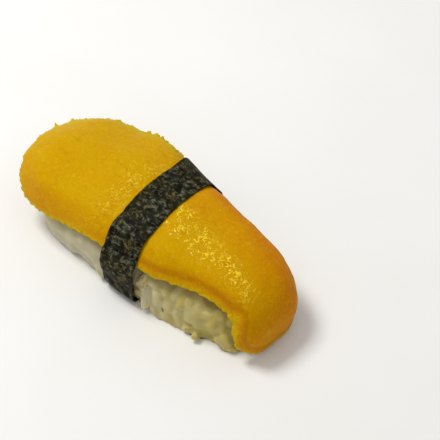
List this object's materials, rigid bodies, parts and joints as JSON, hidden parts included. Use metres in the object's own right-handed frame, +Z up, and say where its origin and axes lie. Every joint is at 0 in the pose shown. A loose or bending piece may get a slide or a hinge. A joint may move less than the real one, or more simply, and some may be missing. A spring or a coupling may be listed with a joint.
{
  "type": "mango nigiri",
  "caption": "Pressed block of rice with a long slice of mango laid over it, tied round the middle with a strip of nori.",
  "frame": {"origin": "middle of the flat base of the rice, between the two ends of the nori", "axes": "+Z up; +X along the block, towards the narrow end that the slice hangs down over"},
  "size_m": [0.0772, 0.036, 0.0197],
  "materials": {
    "mango": "wet, glossy, golden",
    "nori": "dark, dry, lightly mottled",
    "rice": "moist, soft sheen"
  },
  "bodies": {
    "root": {"mango": "mango", "nori_band": "nori", "rice": "rice"}
  },
  "joints": []
}
